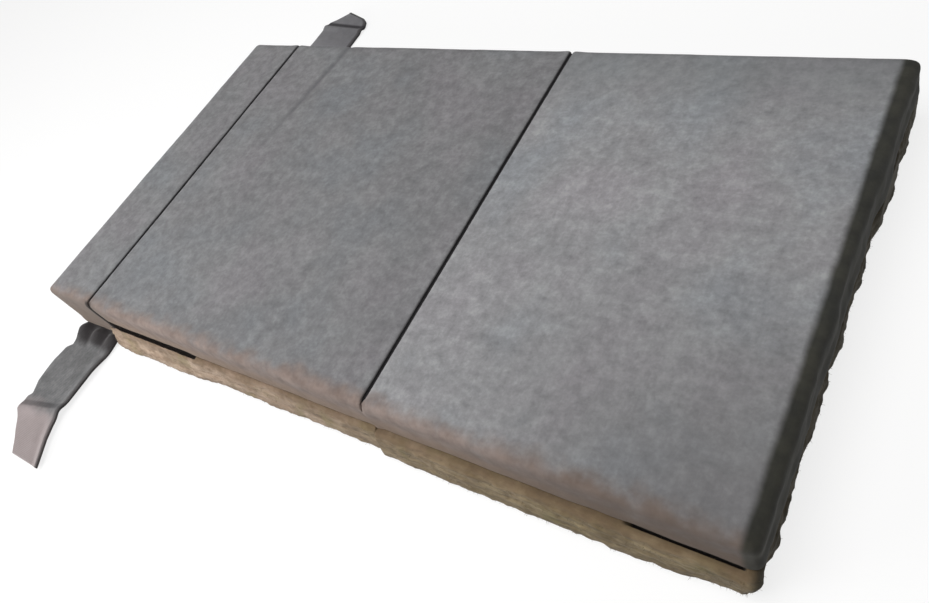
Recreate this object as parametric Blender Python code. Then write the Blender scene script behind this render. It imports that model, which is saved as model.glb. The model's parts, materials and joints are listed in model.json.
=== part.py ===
"""Folding fire blanket: three padded panels, two cloth hinges and a strap under the closing strip.

Metres, +Z up.  The origin is on the floor, under the middle of the opened blanket.
+X runs from the closing strip, over the middle panel, to the flap, and +Y runs to the back.
The flap folds over the middle panel from the right, and the closing strip from the left.
"""

from math import cos, pi, sin

import bmesh
import bpy
from mathutils import Matrix, Vector

# Panels along X: from the free end to a seam line, or from seam line to seam line
STRIP_SPAN = 0.109
MIDDLE_SPAN = 0.503
FLAP_SPAN = 0.388
DEPTH = 0.540
SEAM_GAP = 0.004

# Heights, from the floor up
MAT_HEIGHT = 0.040
LAYER_GAP = 0.0035
PAD_HEIGHT = 0.0415

# How far the fibre mats stand out from under the pads
MIDDLE_MAT_PROUD = 0.008
FLAP_MAT_PROUD = 0.012
BACK_MAT_PROUD = 0.005
END_MAT_PROUD = 0.002

# Rounding of the pads and mats
FREE_EDGE_RADIUS = 0.010
SEAM_EDGE_RADIUS = 0.003
FREE_CORNER_RADIUS = 0.012
SEAM_CORNER_RADIUS = 0.003
MAT_EDGE_RADIUS = 0.004
SMALLEST_RADIUS = 0.0005

# Cloths, sheets and threads
COVER_WALL = 0.002
BACKING_THICKNESS = 0.0013
BARRIER_THICKNESS = 0.0008
BARRIER_INSET = 0.012
TAPE_WIDTH = 0.030
TAPE_INSET = 0.004
END_TAPE_INSET = 0.090
HINGE_CLOTH_THICKNESS = 0.0006
HINGE_CLOTH_HEIGHT = 0.016
HINGE_CLOTH_INSET = 0.006
STITCH_INSET = 0.022
SEAM_STITCH = {"length": 0.016, "pitch": 0.024, "width": 0.0010, "height": 0.0004}
BAR_TACK = {"length": 0.018, "pitch": 0.030, "width": 0.0030, "height": 0.0008}

# The open ends of the gap between mat and pad: from the strip seam, and from the flap's end
MIDDLE_OPEN_LENGTH = 0.194
FLAP_OPEN_LENGTH = 0.106

# Strap under the closing strip
STRAP_WIDTH = 0.098
STRAP_THICKNESS = 0.003
STRAP_ROOT = 0.016
FRONT_TAIL_LENGTH = 0.184
FRONT_TAIL_STRAIGHT = 0.110
FRONT_TIP_WIDTH = 0.066
FRONT_TIP_SHIFT = 0.046
BACK_TAIL_LENGTH = 0.172
BACK_TAIL_FLAT = 0.138
BACK_TIP_RISE = 0.014
STRAP_SEAM_INSET = 0.008
STRAP_GROOVE_DEPTH = 0.0009
BAR_TACK_INSET = 0.005

# Clearances
FIT = 0.0003
CORE_CLEARANCE = 0.0008
HINGE_LIFT = 0.001
CUT_THROUGH = 0.010
CORNER_STEPS = 4

# Places that follow from the sizes
LENGTH = STRIP_SPAN + MIDDLE_SPAN + FLAP_SPAN
LEFT_END = -LENGTH / 2
RIGHT_END = LENGTH / 2
STRIP_SEAM = LEFT_END + STRIP_SPAN
FLAP_SEAM = RIGHT_END - FLAP_SPAN
FRONT = -DEPTH / 2
BACK = DEPTH / 2
PAD_FLOOR = MAT_HEIGHT + LAYER_GAP
TOP = PAD_FLOOR + PAD_HEIGHT
STRIP_FLOOR = STRAP_THICKNESS + SEAM_STITCH["height"] + 2 * FIT
HINGE_HEIGHT = TOP + HINGE_LIFT
STRIP_EXTENT = (LEFT_END, STRIP_SEAM - SEAM_GAP / 2)
MIDDLE_EXTENT = (STRIP_SEAM + SEAM_GAP / 2, FLAP_SEAM - SEAM_GAP / 2)
FLAP_EXTENT = (FLAP_SEAM + SEAM_GAP / 2, RIGHT_END)
STRAP_CENTRE = sum(STRIP_EXTENT) / 2
TAIL_HINGE_Y = DEPTH / 2 + STRAP_ROOT

FREE = {"edge": FREE_EDGE_RADIUS, "corner": FREE_CORNER_RADIUS}
SEAM = {"edge": SEAM_EDGE_RADIUS, "corner": SEAM_CORNER_RADIUS}


def clear_scene():
    for obj in list(bpy.data.objects):
        bpy.data.objects.remove(obj, do_unlink=True)


def make_material(name, colour, roughness, metallic=0.0):
    material = bpy.data.materials.new(name)
    material.use_nodes = True
    shader = material.node_tree.nodes["Principled BSDF"]
    shader.inputs["Base Color"].default_value = (*colour, 1.0)
    shader.inputs["Roughness"].default_value = roughness
    shader.inputs["Metallic"].default_value = metallic
    return material


def make_pivot(name, location):
    """An empty on a joint's axis, which carries the pieces that turn about it."""
    pivot = bpy.data.objects.new(name, None)
    pivot.location = location
    bpy.context.collection.objects.link(pivot)
    return pivot


def carry(pivot, *pieces):
    for piece in pieces:
        piece.parent = pivot
        piece.matrix_parent_inverse = Matrix.Translation(-pivot.location)


def add_object(name, shape, centre, material):
    mesh = bpy.data.meshes.new(name)
    shape.to_mesh(mesh)
    shape.free()
    mesh.materials.append(material)
    obj = bpy.data.objects.new(name, mesh)
    obj.location = centre
    bpy.context.collection.objects.link(obj)
    return obj


def box(name, low, high, material):
    """A plain box from its lowest to its highest corner, with its origin at its centre."""
    size = Vector(high) - Vector(low)
    shape = bmesh.new()
    bmesh.ops.create_cube(shape, size=1.0, matrix=Matrix.Diagonal((*size, 1.0)))
    return add_object(name, shape, (Vector(low) + Vector(high)) / 2, material)


def extrusion(name, outline, direction, material):
    """A prism on a closed outline of points, pushed along direction."""
    shape = bmesh.new()
    face = shape.faces.new([shape.verts.new(point) for point in outline])
    pushed = bmesh.ops.extrude_face_region(shape, geom=[face], use_keep_orig=True)
    moved = [v for v in pushed["geom"] if isinstance(v, bmesh.types.BMVert)]
    bmesh.ops.translate(shape, verts=moved, vec=direction)
    bmesh.ops.recalc_face_normals(shape, faces=shape.faces)
    return add_object(name, shape, Vector(), material)


def bevel(obj, width, segments, by_weight=False):
    modifier = obj.modifiers.new("Rounding", "BEVEL")
    modifier.width = width
    modifier.segments = segments
    modifier.limit_method = "WEIGHT" if by_weight else "NONE"
    return modifier


def cut_away(obj, cutter):
    cutter.hide_render = True
    cutter.display_type = "WIRE"
    cut = obj.modifiers.new("Cut", "BOOLEAN")
    cut.operation = "DIFFERENCE"
    cut.solver = "EXACT"
    cut.object = cutter


def round_pad(obj, ends, thinner, round_top):
    """Rounds a pad's upright corners, and its top edges, less where the pad meets a seam.

    thinner is taken off each radius, so that a cover's wall keeps its thickness round a corner.
    """
    widest = max(FREE_EDGE_RADIUS, FREE_CORNER_RADIUS)
    shape = bmesh.new()
    shape.from_mesh(obj.data)
    weight = shape.edges.layers.float.new("bevel_weight_edge")
    for edge in shape.edges:
        middle = (edge.verts[0].co + edge.verts[1].co) / 2
        along = edge.verts[0].co - edge.verts[1].co
        end = ends[0] if middle.x < 0 else ends[1]
        if abs(along.z) > 0:
            radius = end["corner"]
        elif middle.z > 0 and round_top:
            radius = end["edge"] if abs(along.y) > 0 else FREE_EDGE_RADIUS
        else:
            continue
        edge[weight] = max(radius - thinner, SMALLEST_RADIUS) / widest
    shape.to_mesh(obj.data)
    shape.free()
    bevel(obj, widest, 3, by_weight=True)


def pad_form(name, extent, floor, top, ends, inset, material, thinner=0.0, round_top=True):
    """A pad's outline drawn in by inset on all four sides, from one height to another."""
    low = (extent[0] + inset, FRONT + inset, floor)
    high = (extent[1] - inset, BACK - inset, top)
    obj = box(name, low, high, material)
    round_pad(obj, ends, thinner, round_top)
    return obj


def pad_cover(name, extent, floor, ends, material):
    """The cloth cover: a tray upside down, open below for the core and the backing sheet."""
    cover = pad_form(name, extent, floor, TOP, ends, 0.0, material)
    room = (extent, floor - CUT_THROUGH, TOP - COVER_WALL, ends, COVER_WALL, material)
    hollow = pad_form(name + "_hollow", *room, thinner=COVER_WALL)
    cut_away(cover, hollow)
    return cover, hollow


def pad_core(name, extent, floor, ends, material):
    bottom = floor + BACKING_THICKNESS + FIT
    inset = COVER_WALL + CORE_CLEARANCE
    return pad_form(name, extent, bottom, TOP - inset, ends, inset, material)


def backing_sheet(name, extent, floor, ends, material):
    inset = COVER_WALL + CORE_CLEARANCE
    top = floor + BACKING_THICKNESS
    return pad_form(name, extent, floor, top, ends, inset, material, round_top=False)


def pad_outline(extent, inset, ends, height):
    """The points round a pad, drawn in by inset, with its rounded corners as short arcs."""
    corners = [(1, -1, -pi / 2), (1, 1, 0.0), (-1, 1, pi / 2), (-1, -1, pi)]
    points = []
    for x_side, y_side, start in corners:
        end = ends[1] if x_side > 0 else ends[0]
        radius = max(end["corner"] - inset, SMALLEST_RADIUS)
        x = extent[1] - inset - radius if x_side > 0 else extent[0] + inset + radius
        y = y_side * (BACK - inset - radius)
        for step in range(CORNER_STEPS + 1):
            angle = start + step * pi / 2 / CORNER_STEPS
            points.append((x + radius * cos(angle), y + radius * sin(angle), height))
    return points


def rim_stitching(name, extent, floor, ends, material):
    """The thread that closes the cover's rim to its backing sheet, all the way round."""
    top = floor - FIT
    half = SEAM_STITCH["width"] / 2
    shape = bmesh.new()
    loops = []
    for inset in (COVER_WALL / 2 - half, COVER_WALL / 2 + half):
        for height in (top, top - SEAM_STITCH["height"]):
            loops.append([shape.verts.new(p) for p in pad_outline(extent, inset, ends, height)])
    outer_top, outer_bottom, inner_top, inner_bottom = loops
    rings = (outer_top, outer_bottom, inner_bottom, inner_top, outer_top)
    for upper, lower in zip(rings, rings[1:]):
        for i in range(len(upper)):
            j = (i + 1) % len(upper)
            shape.faces.new((upper[i], lower[i], lower[j], upper[j]))
    bmesh.ops.recalc_face_normals(shape, faces=shape.faces)
    return add_object(name, shape, Vector(), material)


def thread_row(name, start, stop, out, stitch, material):
    """A row of stitches on a cloth: one thread that stands out at each stitch and sinks between.

    The row is centred between start and stop, on the cloth's surface, and stands out along out.
    """
    start, stop, out = Vector(start), Vector(stop), Vector(out)
    along = (stop - start).normalized()
    across = along.cross(out) * stitch["width"]
    room = (stop - start).length
    count = int((room - stitch["length"]) / stitch["pitch"]) + 1
    length = (count - 1) * stitch["pitch"] + stitch["length"]
    profile = [(0.0, 0.0), (length, 0.0)]
    for i in reversed(range(count)):
        first = i * stitch["pitch"]
        profile += [(first + stitch["length"], stitch["height"]), (first, stitch["height"])]
        if i > 0:
            sunk = stitch["height"] / 2
            profile += [(first, sunk), (first - stitch["pitch"] + stitch["length"], sunk)]
    origin = start + along * (room - length) / 2 - across / 2
    outline = [origin + along * distance + out * height for distance, height in profile]
    return extrusion(name, outline, across, material)


def make_pad(name, extent, floor, ends, finishes):
    cover, hollow = pad_cover(name + "_cover", extent, floor, ends, finishes["cover"])
    core = pad_core(name + "_core", extent, floor, ends, finishes["core"])
    backing = backing_sheet(name + "_backing_sheet", extent, floor, ends, finishes["backing"])
    stitches = rim_stitching(name + "_rim_stitching", extent, floor, ends, finishes["thread"])
    return [cover, hollow, core, backing, stitches]


def base_mat(name, extent, front_proud, end_proud, material):
    low = (extent[0], FRONT - front_proud, 0.0)
    high = (extent[1] + end_proud, BACK + BACK_MAT_PROUD, MAT_HEIGHT)
    mat = box(name, low, high, material)
    bevel(mat, MAT_EDGE_RADIUS, 2)
    return mat


def heat_barrier(name, extent, material):
    """Foil-faced cloth that lies on a mat and stays inside the edges of the pad above."""
    low = (extent[0] + BARRIER_INSET, FRONT + BARRIER_INSET, MAT_HEIGHT + FIT)
    high = (extent[1] - BARRIER_INSET, BACK - BARRIER_INSET, MAT_HEIGHT + FIT + BARRIER_THICKNESS)
    return box(name, low, high, material)


def bond_tape(name, low, high, material):
    """A tape that bonds a pad to its mat, seen from above as a strip from low to high."""
    bottom = MAT_HEIGHT + BARRIER_THICKNESS + 2 * FIT
    return box(name, (*low, bottom), (*high, PAD_FLOOR - FIT), material)


def side_tapes(name, start, stop, material):
    front = FRONT + TAPE_INSET
    back = BACK - TAPE_INSET
    return [
        bond_tape(name + "_front_bond_tape", (start, front), (stop, front + TAPE_WIDTH), material),
        bond_tape(name + "_back_bond_tape", (start, back - TAPE_WIDTH), (stop, back), material),
    ]


def end_tape(name, material):
    right = RIGHT_END - TAPE_INSET
    low = (right - TAPE_WIDTH, FRONT + END_TAPE_INSET)
    return bond_tape(name, low, (right, BACK - END_TAPE_INSET), material)


def hinge_leaf(name, seam, side, finishes):
    """One half of a cloth hinge on a pad's seam side, and its row of stitches.

    side is -1 for the pad on the left of the seam line and 1 for the pad on its right.
    """
    outer = seam + side * (SEAM_GAP / 2 - FIT)
    inner = outer - side * HINGE_CLOTH_THICKNESS
    bottom = TOP - HINGE_CLOTH_HEIGHT
    low = (min(outer, inner), FRONT + HINGE_CLOTH_INSET, bottom)
    high = (max(outer, inner), BACK - HINGE_CLOTH_INSET, TOP)
    leaf = box(name, low, high, finishes["hinge"])
    row = (inner - side * FIT, (TOP + bottom) / 2)
    start = (row[0], FRONT + STITCH_INSET, row[1])
    stop = (row[0], BACK - STITCH_INSET, row[1])
    out = (-side, 0.0, 0.0)
    stitches = thread_row(name + "_stitching", start, stop, out, SEAM_STITCH, finishes["thread"])
    return [leaf, stitches]


def strap_seams():
    reach = STRAP_WIDTH / 2 - STRAP_SEAM_INSET
    return {"left": STRAP_CENTRE - reach, "right": STRAP_CENTRE + reach}


def strap_run(material):
    """The strap's fixed length under the strip, with a sunk groove for each row of stitches."""
    half = STRAP_WIDTH / 2
    end = TAIL_HINGE_Y - FIT
    low = (STRAP_CENTRE - half, -end, 0.0)
    run = box("strap_run", low, (STRAP_CENTRE + half, end, STRAP_THICKNESS), material)
    pieces = [run]
    for side, x in strap_seams().items():
        reach = SEAM_STITCH["width"] / 2 + FIT
        groove_low = (x - reach, FRONT + STITCH_INSET - FIT, -CUT_THROUGH)
        groove_high = (x + reach, BACK - STITCH_INSET + FIT, STRAP_GROOVE_DEPTH)
        groove = box(f"strap_{side}_groove", groove_low, groove_high, material)
        cut_away(run, groove)
        pieces.append(groove)
    return pieces


def strap_stitching(material):
    """A row of stitches in each groove of the strap's underside."""
    rows = []
    for side, x in strap_seams().items():
        height = STRAP_GROOVE_DEPTH - FIT
        start = (x, FRONT + STITCH_INSET, height)
        stop = (x, BACK - STITCH_INSET, height)
        name = f"strap_{side}_stitching"
        rows.append(thread_row(name, start, stop, (0.0, 0.0, -1.0), SEAM_STITCH, material))
    return rows


def strap_bar_tacks(material):
    """A bar tack across the strap where it comes out from under the strip, front and back."""
    tacks = []
    for name, y in (("front", FRONT - STRAP_ROOT / 2), ("back", BACK + STRAP_ROOT / 2)):
        reach = STRAP_WIDTH / 2 - BAR_TACK_INSET
        height = STRAP_THICKNESS + FIT
        start = (STRAP_CENTRE - reach, y, height)
        stop = (STRAP_CENTRE + reach, y, height)
        tack = thread_row(f"strap_{name}_bar_tack", start, stop, (0.0, 0.0, 1.0), BAR_TACK, material)
        tacks.append(tack)
    return tacks


def front_tail(material):
    """The front tail lies flat: straight out, then to the right, to a narrower end."""
    root = -TAIL_HINGE_Y - FIT
    bend = root - FRONT_TAIL_STRAIGHT
    tip = root - FRONT_TAIL_LENGTH
    left = STRAP_CENTRE - STRAP_WIDTH / 2
    right = STRAP_CENTRE + STRAP_WIDTH / 2
    tip_centre = STRAP_CENTRE + FRONT_TIP_SHIFT
    outline = [
        (left, root, 0.0),
        (left, bend, 0.0),
        (tip_centre - FRONT_TIP_WIDTH / 2, tip, 0.0),
        (tip_centre + FRONT_TIP_WIDTH / 2, tip, 0.0),
        (right, bend, 0.0),
        (right, root, 0.0),
    ]
    return extrusion("strap_front_tail", outline, (0.0, 0.0, STRAP_THICKNESS), material)


def back_tail(material):
    """The back tail lies flat and turns up at its end."""
    root = TAIL_HINGE_Y + FIT
    fold = root + BACK_TAIL_FLAT
    tip = root + BACK_TAIL_LENGTH
    left = STRAP_CENTRE - STRAP_WIDTH / 2
    outline = [
        (left, root, 0.0),
        (left, fold, 0.0),
        (left, tip, BACK_TIP_RISE),
        (left, tip, BACK_TIP_RISE + STRAP_THICKNESS),
        (left, fold, STRAP_THICKNESS),
        (left, root, STRAP_THICKNESS),
    ]
    return extrusion("strap_back_tail", outline, (STRAP_WIDTH, 0.0, 0.0), material)


def make_finishes():
    return {
        "cover": make_material("grey_cover_cloth", (0.27, 0.27, 0.29), 0.92),
        "backing": make_material("backing_cloth", (0.22, 0.21, 0.20), 0.90),
        "core": make_material("wool_core", (0.62, 0.60, 0.54), 0.95),
        "mat": make_material("fibre_mat", (0.30, 0.24, 0.15), 0.95),
        "barrier": make_material("foil_barrier", (0.60, 0.60, 0.60), 0.35, 0.9),
        "tape": make_material("bond_tape", (0.08, 0.08, 0.08), 0.60),
        "hinge": make_material("hinge_cloth", (0.10, 0.10, 0.11), 0.90),
        "thread": make_material("sewing_thread", (0.20, 0.20, 0.21), 0.60),
        "strap": make_material("strap_cloth", (0.26, 0.26, 0.27), 0.92),
    }


def make_middle(finishes):
    make_pad("middle", MIDDLE_EXTENT, PAD_FLOOR, (SEAM, SEAM), finishes)
    base_mat("middle_base_mat", MIDDLE_EXTENT, MIDDLE_MAT_PROUD, 0.0, finishes["mat"])
    heat_barrier("middle_heat_barrier", MIDDLE_EXTENT, finishes["barrier"])
    start = STRIP_SEAM + MIDDLE_OPEN_LENGTH
    side_tapes("middle", start, MIDDLE_EXTENT[1] - TAPE_INSET, finishes["tape"])
    hinge_leaf("middle_strip_hinge_leaf", STRIP_SEAM, 1, finishes)
    hinge_leaf("middle_flap_hinge_leaf", FLAP_SEAM, -1, finishes)


def make_flap(finishes):
    pieces = make_pad("flap", FLAP_EXTENT, PAD_FLOOR, (SEAM, FREE), finishes)
    pieces.append(base_mat("flap_base_mat", FLAP_EXTENT, FLAP_MAT_PROUD, END_MAT_PROUD, finishes["mat"]))
    pieces.append(heat_barrier("flap_heat_barrier", FLAP_EXTENT, finishes["barrier"]))
    stop = RIGHT_END - FLAP_OPEN_LENGTH
    pieces += side_tapes("flap", FLAP_EXTENT[0] + TAPE_INSET, stop, finishes["tape"])
    pieces.append(end_tape("flap_end_bond_tape", finishes["tape"]))
    pieces += hinge_leaf("flap_hinge_leaf", FLAP_SEAM, 1, finishes)
    carry(make_pivot("flap_fold_axis", Vector((FLAP_SEAM, 0.0, HINGE_HEIGHT))), *pieces)


def make_strip(finishes):
    pieces = make_pad("strip", STRIP_EXTENT, STRIP_FLOOR, (FREE, SEAM), finishes)
    pieces += hinge_leaf("strip_hinge_leaf", STRIP_SEAM, -1, finishes)
    pieces += strap_run(finishes["strap"])
    pieces += strap_stitching(finishes["thread"])
    pieces += strap_bar_tacks(finishes["thread"])
    carry(make_pivot("strip_fold_axis", Vector((STRIP_SEAM, 0.0, HINGE_HEIGHT))), *pieces)


def make_tails(finishes):
    front_axis = Vector((STRAP_CENTRE, -TAIL_HINGE_Y, STRAP_THICKNESS))
    back_axis = Vector((STRAP_CENTRE, TAIL_HINGE_Y, STRAP_THICKNESS))
    carry(make_pivot("front_tail_axis", front_axis), front_tail(finishes["strap"]))
    carry(make_pivot("back_tail_axis", back_axis), back_tail(finishes["strap"]))


def main():
    clear_scene()
    finishes = make_finishes()
    make_middle(finishes)
    make_flap(finishes)
    make_strip(finishes)
    make_tails(finishes)


main()
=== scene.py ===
"""Looks of the folding fire blanket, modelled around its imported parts.

Metres, +Z up.  +X runs from the closing strip, over the middle panel, to the flap, and +Y to the back.
The padded covers, the fibre mats, the hinge cloths and the strap are modelled here, each in the room
that its plain part holds.  The cores, sheets, tapes and threads keep their own shape and get a finish.
"""

import json
import math
import random

import bpy
import numpy as np
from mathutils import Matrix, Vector, noise


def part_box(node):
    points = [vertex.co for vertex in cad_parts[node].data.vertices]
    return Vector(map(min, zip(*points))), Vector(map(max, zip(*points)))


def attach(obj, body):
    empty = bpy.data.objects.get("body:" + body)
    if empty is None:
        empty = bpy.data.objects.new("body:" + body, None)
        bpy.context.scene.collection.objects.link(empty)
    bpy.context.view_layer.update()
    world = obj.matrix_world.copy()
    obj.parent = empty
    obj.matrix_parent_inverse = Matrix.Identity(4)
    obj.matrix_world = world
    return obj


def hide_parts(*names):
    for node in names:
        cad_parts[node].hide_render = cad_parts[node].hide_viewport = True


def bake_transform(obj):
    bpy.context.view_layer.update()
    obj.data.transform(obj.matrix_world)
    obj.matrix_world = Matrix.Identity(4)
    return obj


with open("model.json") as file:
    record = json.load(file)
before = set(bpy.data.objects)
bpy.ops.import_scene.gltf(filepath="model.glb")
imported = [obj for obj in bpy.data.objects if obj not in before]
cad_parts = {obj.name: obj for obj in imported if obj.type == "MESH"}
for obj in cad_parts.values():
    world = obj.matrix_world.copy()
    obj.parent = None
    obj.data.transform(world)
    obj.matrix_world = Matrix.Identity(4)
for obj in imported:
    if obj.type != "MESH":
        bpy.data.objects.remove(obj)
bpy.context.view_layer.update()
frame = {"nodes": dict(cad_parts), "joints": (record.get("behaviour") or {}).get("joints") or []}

TINY = 1e-9

# Padded covers: what the filling does, how round the edges are, and how finely they are cut
FILLING = 0.0016
LEAST_SWELL = 0.0007
SLIDE = 0.0006
SWELL_FRAMES = 20
SWELL_PRESSURE = 4.0
SWELL_MASS = 0.3
HEM_FULLNESS = 0.0003
HEM_FADE = (0.0045, 0.016)
FRONT_EDGE = 0.007
FREE_EDGE = 0.011
SEAM_EDGE = 0.0017
SEAM_HOLD = (0.004, 0.022)
CLOTH_WALL = 0.0017
PANEL_STEP = 0.010
SIDE_STEP = 0.0035
EDGE_CUTS = (0.0015, 0.0035, 0.006, 0.009, 0.013, 0.018, 0.025)
HIGHEST_TOP = 0.0858
COVER_SEEDS = {"middle": 3, "flap": 8, "strip": 13}

# Seams.  At the front end of the flap's seam the right pad laps in front of the left one.  A pair of
# values is the span over which a change fades: away from the seam, back from the front, or upwards
SEAM_LIP = 0.0009
SEAM_LIP_FADE = (0.001, 0.005)
SEAM_LIP_RISE = (0.0824, 0.0834)
SEAM_ROOM = 0.00184
PINCH_FADE = (0.002, 0.012)
PINCH_BACK = (0.004, 0.012)
LAP_REACH = 0.0011
LAP_DEPTH = 0.0014
LAP_TOP = (0.027, 0.033)
FLAT_BACK = (0.0024, 0.0044)
FLAT_TOP = (0.030, 0.038)

# The gap between pads and mats.  Its open stretches are measured along X from the parts they start at
LAYER_GAP = 0.0035
RIM_CLEARANCE = 0.0006
RIM_HEIGHT = 0.018
MIDDLE_OPEN = 0.192
FLAP_OPEN = 0.108
CLOSED_CORNER = 0.012
SLIT_DEPTH = 0.018
LEFT_SLIT = 0.0032
RIGHT_SLIT = 0.0012
SLIT_REACH = 0.003
SLIT_BLUR = 0.0008
SLIT_RISE = (0.020, 0.034)

# Crease across the middle panel, from one end to the other, and where along Y it comes in
CREASE_START = (-0.294, 0.086)
CREASE_STOP = (-0.275, 0.270)
CREASE_FADE = (-0.03, 0.16)
CREASE_WIDTH = 0.0050
CREASE_DEPTH = 0.0013

# Seam lines along Y, at the middle of each hinge's gap
SEAM_LINES = tuple(joint["pos_m"][0] for joint in frame["joints"] if joint["name"].endswith("_fold"))

# Fibre mats
MAT_RING = 0.026
MAT_TOP_EDGE = 0.012
MAT_FOOT_EDGE = 0.004
MAT_CORNER = 0.008
MAT_SEAM_CORNER = 0.0012
MAT_FLARE = 0.0042
MAT_MEETING = 0.0016
CORNER_WEAR = 0.010
FOOT_FADE = (0.004, 0.034)
MAT_SEEDS = {"middle": 61, "flap": 71}

# How many cuts a mat's edges get: those longer than LONG_EDGE, then those longer than CROSS_EDGE, then all
LONG_EDGE = 0.3
CROSS_EDGE = 0.0200
MAT_CUTS = (95, 8, 1)

# Loose fibres of both mats: how many, how long, and the seeds of their roots and of their bends
FIBRE_COUNT = 1900
FIBRE_RADIUS = 0.00022
FIBRE_ROOT = 0.0008
FIBRE_SEAM_GAP = 0.006
FIBRE_LENGTHS = {"middle": 0.0024, "flap": 0.0026}
ROOT_SEEDS = {"middle": 5, "flap": 7}
BEND_SEEDS = {"middle": 6, "flap": 8}

# Room at the flap's end, beside which the closing strip lies in the folded pack
END_ROOM = 0.5042
LIP_REACH = 0.0040
LIP_HEIGHT = 0.0028
LIP_BLUR = 0.0006
MAT_BULGE = 0.0040
PAD_BULGE = 0.0026

# Hinge cloths
LEAF_REACH = 0.0014
LEAF_DEPTH = 0.0157
LEAF_SHARE = 0.62
BRIDGE_DEPTH = 0.0030
BRIDGE_SAG = 0.0012
HINGE_CLOTH = 0.0006

# Strap
STRAP_CLOTH = 0.0036
STRAP_BEVEL = 0.0010
TAIL_START = 0.008
FRONT_FOLD = 0.404
BACK_FOLD = 0.416
FRONT_SLANT = 0.020
BACK_SLANT = 0.010
FRONT_TIP_ROOM = 0.007
BACK_TIP_ROOM = 0.015


# ---------------------------------------------------------------- tools

def deselect_all():
    if bpy.context.object and bpy.context.object.mode != "OBJECT":
        bpy.ops.object.mode_set(mode="OBJECT")
    bpy.ops.object.select_all(action="DESELECT")


def take(obj):
    """Makes obj the only one selected, and the one that operators act on."""
    deselect_all()
    obj.select_set(True)
    bpy.context.view_layer.objects.active = obj


def name_it(name):
    obj = bpy.context.object
    obj.name = name
    obj.data.name = name
    return obj


def settle(obj):
    """Puts the object's place and size into its mesh, so that it sits at the origin."""
    take(obj)
    bpy.ops.object.transform_apply(location=True, rotation=True, scale=True)


def start_box(name, low, high):
    deselect_all()
    bpy.ops.mesh.primitive_cube_add(size=1.0, location=Vector((low + high) / 2))
    obj = name_it(name)
    obj.scale = Vector(high - low)
    settle(obj)
    return obj


def cut_across(obj, axis, places):
    """Cuts the mesh by upright planes at the given places along one axis."""
    take(obj)
    bpy.ops.object.mode_set(mode="EDIT")
    normal = [0.0, 0.0, 0.0]
    normal[axis] = 1.0
    for place in places:
        point = [0.0, 0.0, 0.0]
        point[axis] = place
        bpy.ops.mesh.select_all(action="SELECT")
        bpy.ops.mesh.bisect(plane_co=point, plane_no=normal)
    bpy.ops.object.mode_set(mode="OBJECT")


def places_between(low, high, step):
    """Places for cuts: close together near both ends, then one every step."""
    first = low + EDGE_CUTS[-1]
    last = high - EDGE_CUTS[-1]
    count = max(1, round((last - first) / step))
    between = [first + (last - first) * i / count for i in range(1, count)]
    return [low + c for c in EDGE_CUTS] + between + [high - c for c in reversed(EDGE_CUTS)]


def points_of(obj):
    points = np.empty(len(obj.data.vertices) * 3, np.float32)
    obj.data.vertices.foreach_get("co", points)
    return points.reshape(-1, 3).astype(float)


def normals_of(obj):
    normals = np.empty(len(obj.data.vertices) * 3, np.float32)
    obj.data.vertex_normals.foreach_get("vector", normals)
    return normals.reshape(-1, 3).astype(float)


def set_points(obj, points):
    obj.data.vertices.foreach_set("co", points.astype(np.float32).ravel())
    obj.data.update()


def smooth_step(value, start, stop):
    share = np.clip((value - start) / (stop - start), 0.0, 1.0)
    return share * share * (3.0 - 2.0 * share)


def rising(value, span):
    """0 up to the span's start, and 1 from its stop on."""
    return smooth_step(value, *span)


def fading(value, span):
    """1 up to the span's start, and 0 from its stop on."""
    return 1.0 - smooth_step(value, *span)


def waves(points, size, seed, stretch=(1.0, 1.0, 1.0)):
    """Smooth random values from about -1 to 1, one for each point, with features of that size."""
    scaled = points * np.array(stretch) / size + seed * 17.31
    return np.array([noise.noise(Vector(p)) for p in scaled])


def apply_modifier(obj, kind, **settings):
    take(obj)
    modifier = obj.modifiers.new("Shaping", kind)
    for key, value in settings.items():
        setattr(modifier, key, value)
    bpy.ops.object.modifier_apply(modifier=modifier.name)


def select_faces(obj, chosen):
    """Selects exactly the faces that chosen says yes to, from their centre and normal."""
    take(obj)
    bpy.ops.object.mode_set(mode="EDIT")
    bpy.ops.mesh.select_mode(type="FACE")
    bpy.ops.mesh.select_all(action="DESELECT")
    bpy.ops.object.mode_set(mode="OBJECT")
    for face in obj.data.polygons:
        face.select = bool(chosen(face.center, face.normal))
    bpy.ops.object.mode_set(mode="EDIT")


def select_edges(obj, chosen):
    """Selects exactly the edges that chosen says yes to, from their two ends."""
    take(obj)
    bpy.ops.object.mode_set(mode="EDIT")
    bpy.ops.mesh.select_mode(type="EDGE")
    bpy.ops.mesh.select_all(action="DESELECT")
    bpy.ops.object.mode_set(mode="OBJECT")
    points = [v.co.copy() for v in obj.data.vertices]
    for edge in obj.data.edges:
        edge.select = bool(chosen(points[edge.vertices[0]], points[edge.vertices[1]]))
    bpy.ops.object.mode_set(mode="EDIT")


def round_box(points, low, high, near, far):
    """Rounds a box's edges.  near and far are how far in the rounding reaches at its low and high faces."""
    inner = np.clip(points, low + near, high - far)
    out = points - inner
    reach = np.maximum(np.where(out < 0, near, far), TINY)
    share = out / reach
    length = np.linalg.norm(share, axis=1)
    largest = np.abs(share).max(axis=1)
    factor = np.where(length > TINY, largest / np.maximum(length, TINY), 1.0)
    return inner + out * factor[:, None]


def shade_smooth(obj, angle=50.0):
    take(obj)
    bpy.ops.object.shade_smooth_by_angle(angle=math.radians(angle))


def dress(obj, finish, body=None):
    """Gives a finished piece its material and the body that it rides on."""
    obj.data.materials.clear()
    obj.data.materials.append(finish)
    if body:
        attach(obj, body)


def corners(node):
    low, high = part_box(node)
    return np.array(low), np.array(high)


# ---------------------------------------------------------------- finishes

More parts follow.
